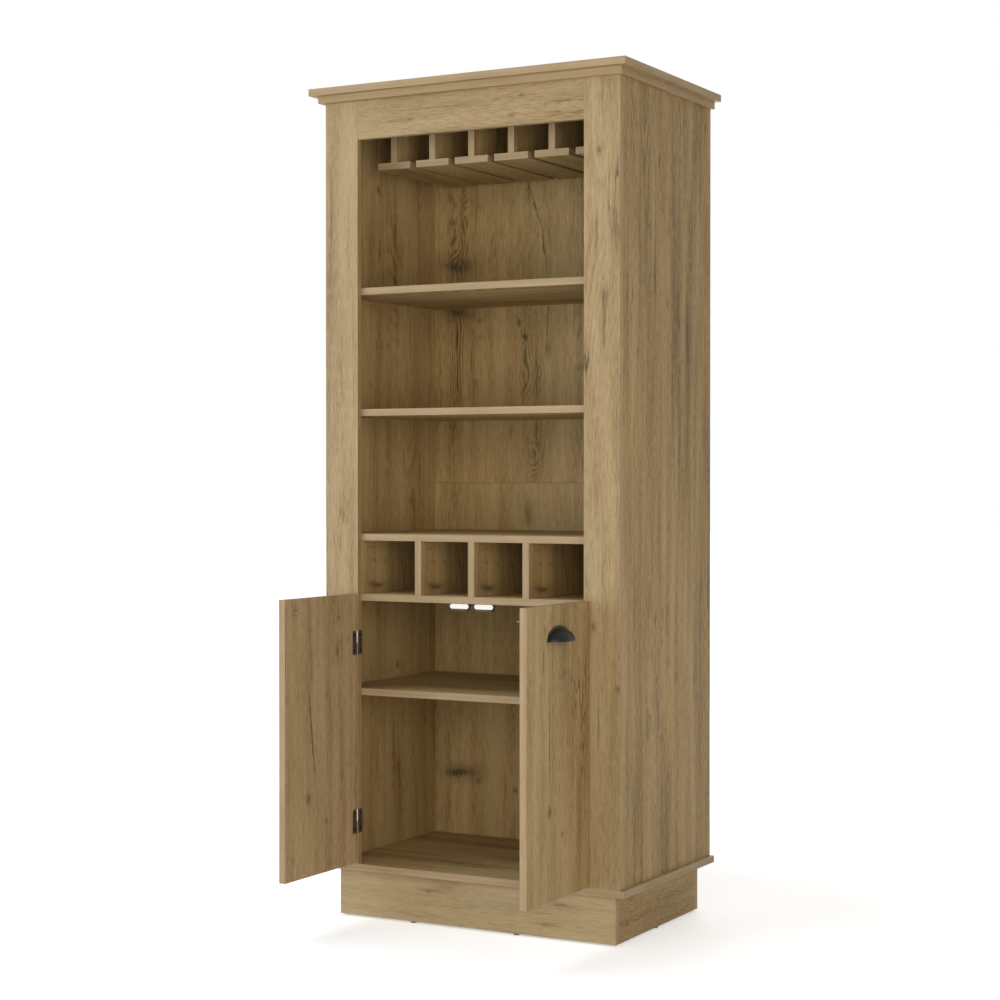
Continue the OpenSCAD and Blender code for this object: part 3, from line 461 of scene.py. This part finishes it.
# The stiles and the rail take the cooler front tint, a painted sheen
left_stile_oak = oak_foil("oak print of the left stile", [
    (1517, -340, 150, 2.4, 0, 0.35, 0)],
    shift=0.04, lively=0.7, cast=FRONT_SHEEN_TINT)
right_stile_oak = oak_foil("oak print of the right stile", [
    (1621, 308, 11, 5, 0, 0.5, 0.5), (1448, 301, 45, 2.6, 3, 0.45, 0), (1328, 322, 20, 10, 0, 0.3, 0.15),
    (655, 293, 9, 6, 0, 0.5, 0.4), (458, 306, 52, 1.9, 0, 0.5, 0), (528, 351, 8, 6, 0, 0.45, 0.3),
    (410, 318, 35, 10, 0, 0, 0.9)],
    shift=0.08, lively=0.65, cast=FRONT_SHEEN_TINT)
rail_oak = oak_foil("oak print of the top rail", [
    (-60, 1740, 70, 1.6, 0, 0.4, 0), (129, 1749, 8, 4, 0, 0.4, 0.2), (-141, 1720, 8, 4, 0, 0.4, 0.2),
    (103, 1708, 8, 4, 0, 0.4, 0.2)],
    shift=0.09, lively=0.6, cast=FRONT_SHEEN_TINT)
frame_band = oak_band("browner oak edge band", FRAME_BAND_TONES)
board("left_stile", Z, Y, left_stile_oak, 61.0, band=frame_band)
board("right_stile", Z, Y, right_stile_oak, 64.0, band=frame_band)
board("top_rail", X, Y, rail_oak, 67.0)

# ---- Shelves and bottle rack ----
# Five boards pegged between the side panels. The two around the bottles are joined by two ends and
# three dividers, which make four cubbies.

SEED_STEP = 3.0
SHELVES = ("upper_shelf", "middle_shelf", "bottle_rack_top", "bottle_rack_floor", "lower_shelf")
UPRIGHTS = ("left_rack_end", "left_bottle_divider", "middle_bottle_divider", "right_bottle_divider",
            "right_rack_end")

shelf_oak = oak_foil("oak print of the shelves", [
    (-60, 330, 120, 16, 2, 0.3, 0.5), (90, 180, 90, 9, -2, 0.3, 0.3)],
    shift=-0.09, lively=1.3)
for index, node in enumerate(SHELVES):
    board(node, X, Z, shelf_oak, 71.0 + SEED_STEP * index)
divider_oak = oak_foil("oak print of the bottle dividers", [
    (724, 66, 8, 30, 6, 0.5, 0.3), (722, 90, 4, 14, -8, 0.3, 0), (760, 184, 60, 1.9, -14, 0.55, 0),
    (778, 66, 2.4, 12, 12, 0.42, 0.1), (806, 58, 2.2, 13, -8, 0.35, 0), (775, 112, 2.2, 10, 10, 0.3, 0)])
for node in UPRIGHTS:
    board(node, Z, X, divider_oak, 91.0)

# ---- Stemware rack ----
# Six T-shaped rails: a stem hung from the top panel with screws and a flange pegged below it.
# The foot of a glass slides on two flanges, with its stem in the slot between them.

RAILS = 6

for index in range(1, RAILS + 1):
    board(f"glass_rail_stem_{index}", Z, X, plain_oak, 101.0 + SEED_STEP * index)
    board(f"glass_rail_flange_{index}", Y, Z, plain_oak, 131.0 + SEED_STEP * index)

# ---- Doors ----
# Two plain slab doors, banded on all four edges, hung on the stiles and standing open. The left
# one's print is a touch cooler than the right one's.

LEFT_DOOR_CAST = ("#fcf7f8", "#f5f8f7")
RIGHT_DOOR_CAST = ("#fffaf5", "#f9fcf0")

left_door_oak = oak_foil("oak print of the left door", [
    (422, -178, 105, 2.6, -7, 0.75, 0), (287, -191, 14, 8, 0, 0.6, 0.5), (660, -76, 7, 5, 0, 0.5, 0.2),
    (587, -80, 22, 6, 0, 0.45, 0.3), (560, -178, 60, 5, 0, 0.3, 0),
    (231, -123, 7, 5, 0, 0.5, 0.2)],
    shift=-0.05, lively=1.3, cast=LEFT_DOOR_CAST)
right_door_oak = oak_foil("oak print of the right door", [
    (429, -180, 95, 2.4, 0, 0.7, 0), (301, -180, 12, 8, 0, 0.6, 0.5), (554, -84, 7, 5, 0, 0.5, 0.2),
    (250, -124, 7, 5, 0, 0.5, 0.2)],
    shift=0.13, lively=0.85, cast=RIGHT_DOOR_CAST)
board("left_door", Z, X, left_door_oak, 151.0)
board("right_door", Z, X, right_door_oak, 154.0)

# ---- Cup pulls ----
# Black cup pulls, die-cast in zinc with a satin stove enamel. A dome open at the bottom rises from
# a flat flange; two tabs inside it take the screws that hold it on the door's face.

PULL_OUT = 30.0 * MM
PULL_WALL = 1.6 * MM
FLANGE_WIDTH = 5.0 * MM
FLANGE_THICK = 1.8 * MM
FILLET = 1.2 * MM
RIM_ROUND = 0.5 * MM
TAB_LOW, TAB_HIGH = 2.5 * MM, 13.5 * MM
TAB_INNER = 26.5 * MM
SWEEP_STEPS = 48
DOME_STEPS = 16
QUARTER_TURN = math.radians(90)
CREASE = math.radians(35)
MERGE = 0.01 * MM


def satin_enamel(name):
    """Satin black stove enamel: soft broad highlights, an orange peel of 1.4 mm, greyer where rubbed."""
    material, tree = new_material(name)
    place = add(tree, "ShaderNodeTexCoord").outputs["Object"]
    peel = add(tree, "ShaderNodeTexNoise", {"Vector": place, "Scale": 700.0, "Detail": 2.0})
    rub = add(tree, "ShaderNodeTexNoise", {"Vector": place, "Scale": 60.0, "Detail": 4.0})
    edge = add(tree, "ShaderNodeNewGeometry").outputs["Pointiness"]
    wear_and_highlight = add(tree, "ShaderNodeMapRange", {"Value": edge, "From Min": 0.53, "From Max": 0.6})
    share = add(tree, "ShaderNodeMath", {0: wear_and_highlight, 1: rub}, operation="MULTIPLY")
    tone = add(tree, "ShaderNodeMix", {"Factor": share, 6: paint("#121214"), 7: paint("#2e2d2f")},
               data_type="RGBA")
    gloss = add(tree, "ShaderNodeMapRange", {"Value": rub, "To Min": 0.3, "To Max": 0.46})
    bump = add(tree, "ShaderNodeBump", {"Height": peel, "Strength": 0.25, "Distance": 0.05 * MM})
    shader = add(tree, "ShaderNodeBsdfPrincipled",
                 {"Base Color": tone.outputs[2], "Roughness": gloss, "Normal": bump, "IOR": 1.5,
                  "Specular IOR Level": 0.22})
    add(tree, "ShaderNodeOutputMaterial", {"Surface": shader})
    return material


def pull_profile(turn, half, rise):
    """The pull's cut at one turn from its top: (x out, y aside, z up) round flange, dome and inside."""
    aside, up = math.sin(turn), math.cos(turn)
    dome_half, dome_rise = half - FLANGE_WIDTH, rise - FLANGE_WIDTH
    points = [(0.0, half * aside, rise * up)]
    points.append((FLANGE_THICK - RIM_ROUND, half * aside, rise * up))
    points.append((FLANGE_THICK, (half - RIM_ROUND) * aside, (rise - RIM_ROUND) * up))
    points.append((FLANGE_THICK, (dome_half + FILLET) * aside, (dome_rise + FILLET) * up))
    for step in range(1, DOME_STEPS + 1):
        lean = QUARTER_TURN * step / DOME_STEPS
        points.append((PULL_OUT * math.sin(lean) * up + (FLANGE_THICK if step == 1 else 0.0) * (1 - up),
                       dome_half * aside, dome_rise * math.cos(lean) * up))
    for step in range(DOME_STEPS, -1, -1):
        lean = QUARTER_TURN * step / DOME_STEPS
        points.append(((PULL_OUT - PULL_WALL) * math.sin(lean) * up,
                       (dome_half - PULL_WALL) * aside, (dome_rise - PULL_WALL) * math.cos(lean) * up))
    return points


def cup_pull(side):
    """A cup pull on the door of that side, -1 or 1, swept round from one end of its flange."""
    node = "left_cup_pull" if side < 0 else "right_cup_pull"
    low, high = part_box(node)
    half = (high.y - low.y) / 2
    rise = high.z - low.z
    root = Vector((low.x if side > 0 else high.x, (low.y + high.y) / 2, low.z))
    shape = bmesh.new()
    rings = []
    for step in range(SWEEP_STEPS + 1):
        turn = math.radians(-90 + 180 * step / SWEEP_STEPS)
        profile = pull_profile(turn, half, rise)
        rings.append([shape.verts.new(root + Vector((side * x, y, z))) for x, y, z in profile])
    for ring, following in zip(rings, rings[1:]):
        for here in range(len(ring)):
            there = (here + 1) % len(ring)
            shape.faces.new((ring[here], ring[there], following[there], following[here]))
    for ring in (rings[0], rings[-1]):
        shape.faces.new(ring)
    bmesh.ops.remove_doubles(shape, verts=shape.verts, dist=MERGE)
    for face in shape.faces:
        face.smooth = True
    tab_outer = half - FLANGE_WIDTH - PULL_WALL
    for hand in (-1, 1):
        y0, y1 = sorted((hand * TAB_INNER, hand * tab_outer))
        x0, x1 = sorted((0.0, side * FLANGE_THICK))
        tab = box_mesh(root + Vector((x0, y0, TAB_LOW)), root + Vector((x1, y1, TAB_HIGH)), RIM_ROUND)
        shape.from_mesh(tab)
    bmesh.ops.recalc_face_normals(shape, faces=shape.faces)
    mesh = bpy.data.meshes.new("cup pull")
    shape.to_mesh(mesh)
    shape.free()
    mesh.set_sharp_from_angle(angle=CREASE)
    show(node + "_casting", mesh, [black_enamel], node)


black_enamel = satin_enamel("satin black stove enamel on die-cast zinc")
cup_pull(-1)
cup_pull(1)

# ---- Screws ----
# Countersunk cross-recess steel screws, bright zinc-plated in the boards, the pulls and the catches
# and black-bronzed in the hinges. All of them keep their shape from the frame, down to the cross in
# each head.


def dress(node, material, eased=0.0):
    """Gives a node of the frame its finish, and eases its corners."""
    kept = frame["nodes"][node]
    for place in kept.material_slots:
        place.material = material
    if eased:
        corners = kept.modifiers.new("eased corners", "BEVEL")
        corners.width = eased
        corners.segments = 2
        corners.limit_method = "ANGLE"


def plated_steel(name, plate, shade, rough):
    """Plated steel: a sheen clouded in patches of 4 mm, over a grit of 0.4 mm, coarser than real."""
    material, tree = new_material(name)
    place = add(tree, "ShaderNodeTexCoord").outputs["Object"]
    cloud = add(tree, "ShaderNodeTexNoise", {"Vector": place, "Scale": 240.0, "Detail": 4.0})
    grit = add(tree, "ShaderNodeTexNoise", {"Vector": place, "Scale": 2600.0, "Detail": 2.0})
    tone = add(tree, "ShaderNodeMix", {"Factor": cloud, 6: paint(plate), 7: paint(shade)}, data_type="RGBA")
    gloss = add(tree, "ShaderNodeMapRange", {"Value": cloud, "To Min": rough - 0.08, "To Max": rough + 0.1})
    bump = add(tree, "ShaderNodeBump", {"Height": grit, "Strength": 0.3, "Distance": 0.02 * MM})
    shader = add(tree, "ShaderNodeBsdfPrincipled",
                 {"Base Color": tone.outputs[2], "Metallic": 1.0, "Roughness": gloss, "Normal": bump})
    add(tree, "ShaderNodeOutputMaterial", {"Surface": shader})
    return material


zinc_plate = plated_steel("bright zinc-plated steel", "#c4c5c6", "#9c9a94", 0.36)
for node in ("top_screws", "left_pull_screws", "right_pull_screws", "catch_screws"):
    dress(node, zinc_plate)
black_screw = plated_steel("black-bronzed screw steel", "#4a3e35", "#2c241e", 0.42)
for node in ("frame_leaf_screws", "left_door_leaf_screws", "right_door_leaf_screws"):
    dress(node, black_screw)

# ---- Hinges ----
# Four small butt hinges of bronzed steel. The leaves are dark; round the knuckles and the pin the
# colour is painted near-white, a painted highlight standing in for the reflection along the barrel.

# Out to where the leaf starts to roll round the pin
BARREL_R = 3.3 * MM
BARREL_FADE = 0.3 * MM
pin_at = Vector(next(joint for joint in frame["joints"] if joint["name"] == "right_door_hinge")["pos_m"])


def bronzed_hinge(name):
    """Bronzed steel, cloudy and dark on the leaves, with a bright, even painted highlight near the pin of its own
    side.
    """
    material, tree = new_material(name)
    place = add(tree, "ShaderNodeTexCoord").outputs["Object"]
    parts = add(tree, "ShaderNodeSeparateXYZ", {0: place})
    aside = add(tree, "ShaderNodeMath", {0: parts.outputs["X"]}, operation="ABSOLUTE")
    from_pin_x = add(tree, "ShaderNodeMath", {0: aside, 1: abs(pin_at.x)}, operation="SUBTRACT")
    from_pin_y = add(tree, "ShaderNodeMath", {0: parts.outputs["Y"], 1: pin_at.y}, operation="SUBTRACT")
    flat = add(tree, "ShaderNodeCombineXYZ", {"X": from_pin_x, "Y": from_pin_y})
    far = add(tree, "ShaderNodeVectorMath", {0: flat}, operation="LENGTH")
    cloud = add(tree, "ShaderNodeTexNoise", {"Vector": place, "Scale": 180.0, "Detail": 4.0})
    # Painted highlight: within the barrel's reach of the pin the colour turns near-white, standing in for the
    # reflection along the knuckles
    wear_and_highlight = add(tree, "ShaderNodeMapRange",
               {"Value": far.outputs["Value"], "From Min": BARREL_R, "From Max": BARREL_R + BARREL_FADE,
                "To Min": 1.0, "To Max": 0.0})
    dark = add(tree, "ShaderNodeMix", {"Factor": cloud, 6: paint("#9a8d82"), 7: paint("#756a60")},
               data_type="RGBA")
    tone = add(tree, "ShaderNodeMix", {"Factor": wear_and_highlight, 6: dark.outputs[2], 7: paint("#f6f1ec")},
               data_type="RGBA")
    gloss = add(tree, "ShaderNodeMapRange", {"Value": wear_and_highlight, "To Min": 0.5, "To Max": 0.56})
    bump = add(tree, "ShaderNodeBump", {"Height": cloud, "Strength": 0.2, "Distance": 0.03 * MM})
    shader = add(tree, "ShaderNodeBsdfPrincipled",
                 {"Base Color": tone.outputs[2], "Metallic": 1.0, "Roughness": gloss, "Normal": bump})
    add(tree, "ShaderNodeOutputMaterial", {"Surface": shader})
    return material


hinge_steel = bronzed_hinge("bronzed hinge steel with a painted highlight on the barrel")
for node in ("frame_leaves", "left_door_leaves", "right_door_leaves"):
    dress(node, hinge_steel, 0.15 * MM)
dress("hinge_pins", plated_steel("bright pin steel", "#dcd6ce", "#b4ada4", 0.22))

# ---- Catches and strikes ----
# Two catches screwed under the bottle rack, each a white moulded face plate on a brown moulded housing
# with a magnet between steel poles. What they hold is a bent steel strip let into each door's back
# and lacquered oak-brown.


def moulded_plastic(name, pale, deep):
    """Moulded ABS or thick lacquer: an even low sheen over a grain of 0.5 mm, coarser than real."""
    material, tree = new_material(name)
    place = add(tree, "ShaderNodeTexCoord").outputs["Object"]
    grain = add(tree, "ShaderNodeTexNoise", {"Vector": place, "Scale": 2200.0, "Detail": 2.0})
    cloud = add(tree, "ShaderNodeTexNoise", {"Vector": place, "Scale": 90.0, "Detail": 3.0})
    tone = add(tree, "ShaderNodeMix", {"Factor": cloud, 6: paint(pale), 7: paint(deep)}, data_type="RGBA")
    gloss = add(tree, "ShaderNodeMapRange", {"Value": cloud, "To Min": 0.34, "To Max": 0.46})
    bump = add(tree, "ShaderNodeBump", {"Height": grain, "Strength": 0.3, "Distance": 0.03 * MM})
    shader = add(tree, "ShaderNodeBsdfPrincipled",
                 {"Base Color": tone.outputs[2], "Roughness": gloss, "Normal": bump, "IOR": 1.54})
    add(tree, "ShaderNodeOutputMaterial", {"Surface": shader})
    return material


dress("catch_plates", moulded_plastic("white moulded ABS", "#f1efec", "#e6e3df"), 0.3 * MM)
dress("catch_housings", moulded_plastic("brown moulded ABS", "#5f4f3c", "#53442f"), 0.3 * MM)
dress("catch_magnets", plated_steel("pole steel and ferrite", "#4e473f", "#37312b", 0.5), 0.1 * MM)
strike_lacquer = moulded_plastic("oak-brown lacquer on strip steel", "#a88f69", "#98805b")
dress("left_strike", strike_lacquer, 0.15 * MM)
dress("right_strike", strike_lacquer, 0.15 * MM)

# ---- Dowels and glides ----
# Beech dowels glued into most joints, and nickel-plated steel glides nailed under the plinth. Only
# the glides can be seen.


def beech(name):
    """Planed beech: pale pinkish wood with dark flecks 1.1 mm apart."""
    material, tree = new_material(name)
    place = add(tree, "ShaderNodeTexCoord").outputs["Object"]
    fleck = add(tree, "ShaderNodeTexVoronoi", {"Vector": place, "Scale": 900.0})
    cloud = add(tree, "ShaderNodeTexNoise", {"Vector": place, "Scale": 120.0, "Detail": 4.0})
    spots = add(tree, "ShaderNodeMapRange",
                {"Value": fleck.outputs["Distance"], "From Min": 0.1, "From Max": 0.4,
                 "To Min": 0.6, "To Max": 0.0})
    depth = add(tree, "ShaderNodeMath", {0: cloud, 1: 0.5, 2: spots}, operation="MULTIPLY_ADD")
    tone = add(tree, "ShaderNodeMix", {"Factor": depth, 6: paint("#dfc39d"), 7: paint("#b18d64")},
               data_type="RGBA")
    bump = add(tree, "ShaderNodeBump", {"Height": cloud, "Strength": 0.3, "Distance": 0.1 * MM})
    shader = add(tree, "ShaderNodeBsdfPrincipled",
                 {"Base Color": tone.outputs[2], "Roughness": 0.62, "Normal": bump, "IOR": 1.5})
    add(tree, "ShaderNodeOutputMaterial", {"Surface": shader})
    return material


planed_beech = beech("planed beech dowel")
dress("shelf_dowels", planed_beech, 0.4 * MM)
dress("frame_dowels", planed_beech, 0.4 * MM)
dress("floor_glides", plated_steel("nickel-plated glide steel", "#77716c", "#55504b", 0.35))

# ---- Studio ----
# A white room: three broad softboxes in front a little above the cabinet's middle, one high up at
# the left, one behind the back, and a little light from all around. The left ones are faintly cool,
# the right ones faintly warm. Each has its turn and its rise in degrees, its watts and its tint.

FLOOR_SIZE = 30.0
FLOOR_GLOW = 0.46
GLOW_FROM = 0.9
GLOW_TO = 2.6
WHITE = (1.0, 1.0, 1.0, 1.0)
ROOM_LIGHT = 0.3
SOFTBOX = 2.4
SOFTBOX_AWAY = 4.6
SOFTBOX_HUB = Vector((0.0, 0.0, 1.0))
LIT_MIDDLE = Vector((0.0, 0.0, 0.95))
COOL, WARM, PLAIN = (0.82, 0.91, 1.0), (1.0, 0.91, 0.82), (1.0, 1.0, 1.0)
SOFTBOXES = (
    (-30.0, 3.0, 66.0, COOL),
    (15.0, 3.0, 52.0, WARM),
    (45.0, 3.0, 76.0, WARM),
    (-45.0, 60.0, 68.0, COOL),
    (197.0, 12.0, 66.0, PLAIN),
)


def seen_straight(tree):
    """1 where the camera, a reflection or a view through glass looks at it, 0 for all other light."""
    path = add(tree, "ShaderNodeLightPath").outputs
    mirrored = add(tree, "ShaderNodeMath", {0: path["Is Camera Ray"], 1: path["Is Glossy Ray"]},
                   operation="MAXIMUM")
    return add(tree, "ShaderNodeMath", {0: mirrored, 1: path["Is Transmission Ray"]}, operation="MAXIMUM")


floor_mesh = bpy.data.meshes.new("floor")
floor_shape = bmesh.new()
bmesh.ops.create_grid(floor_shape, x_segments=1, y_segments=1, size=FLOOR_SIZE)
floor_shape.to_mesh(floor_mesh)
floor_shape.free()
floor = bpy.data.objects.new("floor", floor_mesh)
bpy.context.scene.collection.objects.link(floor)
white_floor, tree = new_material("matt white floor")
# The floor glows less round the cabinet, so that it keeps the cabinet's shadow there
floor_place = add(tree, "ShaderNodeTexCoord").outputs["Object"]
off_middle = add(tree, "ShaderNodeVectorMath", {0: floor_place}, operation="LENGTH")
outward = add(tree, "ShaderNodeMapRange",
              {"Value": off_middle.outputs["Value"], "From Min": GLOW_FROM, "From Max": GLOW_TO,
               "To Min": FLOOR_GLOW, "To Max": 1.0})
glow = add(tree, "ShaderNodeMath", {0: seen_straight(tree), 1: outward}, operation="MULTIPLY")
shader = add(tree, "ShaderNodeBsdfPrincipled",
             {"Base Color": paint("#f4f4f4"), "Roughness": 0.9,
              "Emission Color": WHITE, "Emission Strength": glow})
add(tree, "ShaderNodeOutputMaterial", {"Surface": shader})
floor_mesh.materials.append(white_floor)

world = bpy.data.worlds.new("white room")
world.use_nodes = True
world.node_tree.nodes.clear()
tree = world.node_tree
level = add(tree, "ShaderNodeMapRange", {"Value": seen_straight(tree), "To Min": ROOM_LIGHT, "To Max": 1.0})
sky = add(tree, "ShaderNodeBackground", {"Color": WHITE, "Strength": level})
add(tree, "ShaderNodeOutputWorld", {"Surface": sky})
bpy.context.scene.world = world

for number, (turn, rise, power, tint) in enumerate(SOFTBOXES, 1):
    lamp = bpy.data.lights.new(f"softbox {number}", "AREA")
    lamp.shape = "SQUARE"
    lamp.size = SOFTBOX
    lamp.energy = power
    lamp.color = tint
    softbox = bpy.data.objects.new(f"softbox {number}", lamp)
    bpy.context.scene.collection.objects.link(softbox)
    around, above = math.radians(turn), math.radians(rise)
    level_out = math.cos(above)
    toward = Vector((math.sin(around) * level_out, -math.cos(around) * level_out, math.sin(above)))
    softbox.location = SOFTBOX_HUB + SOFTBOX_AWAY * toward
    aim = LIT_MIDDLE - softbox.location
    softbox.rotation_euler = aim.to_track_quat("-Z", "Y").to_euler()

# ---- Camera ----
# It stands to the right of the cabinet, about as high as its middle, and looks a trace downwards.
# Sensor and lens are in millimetres, its turn and its dip in degrees.

SENSOR = 36.0
LENS = 75.107
CAMERA_AT = (2.1655, -3.8072, 0.9569)
CAMERA_TURN = 28.734
CAMERA_DIP = 0.604

camera_data = bpy.data.cameras.new("camera")
camera_data.sensor_width = SENSOR
camera_data.lens = LENS
camera = bpy.data.objects.new("camera", camera_data)
bpy.context.scene.collection.objects.link(camera)
camera.location = CAMERA_AT
camera.rotation_euler = (math.radians(90 - CAMERA_DIP), 0.0, math.radians(CAMERA_TURN))
bpy.context.scene.camera = camera
bpy.context.scene.view_settings.view_transform = "Standard"
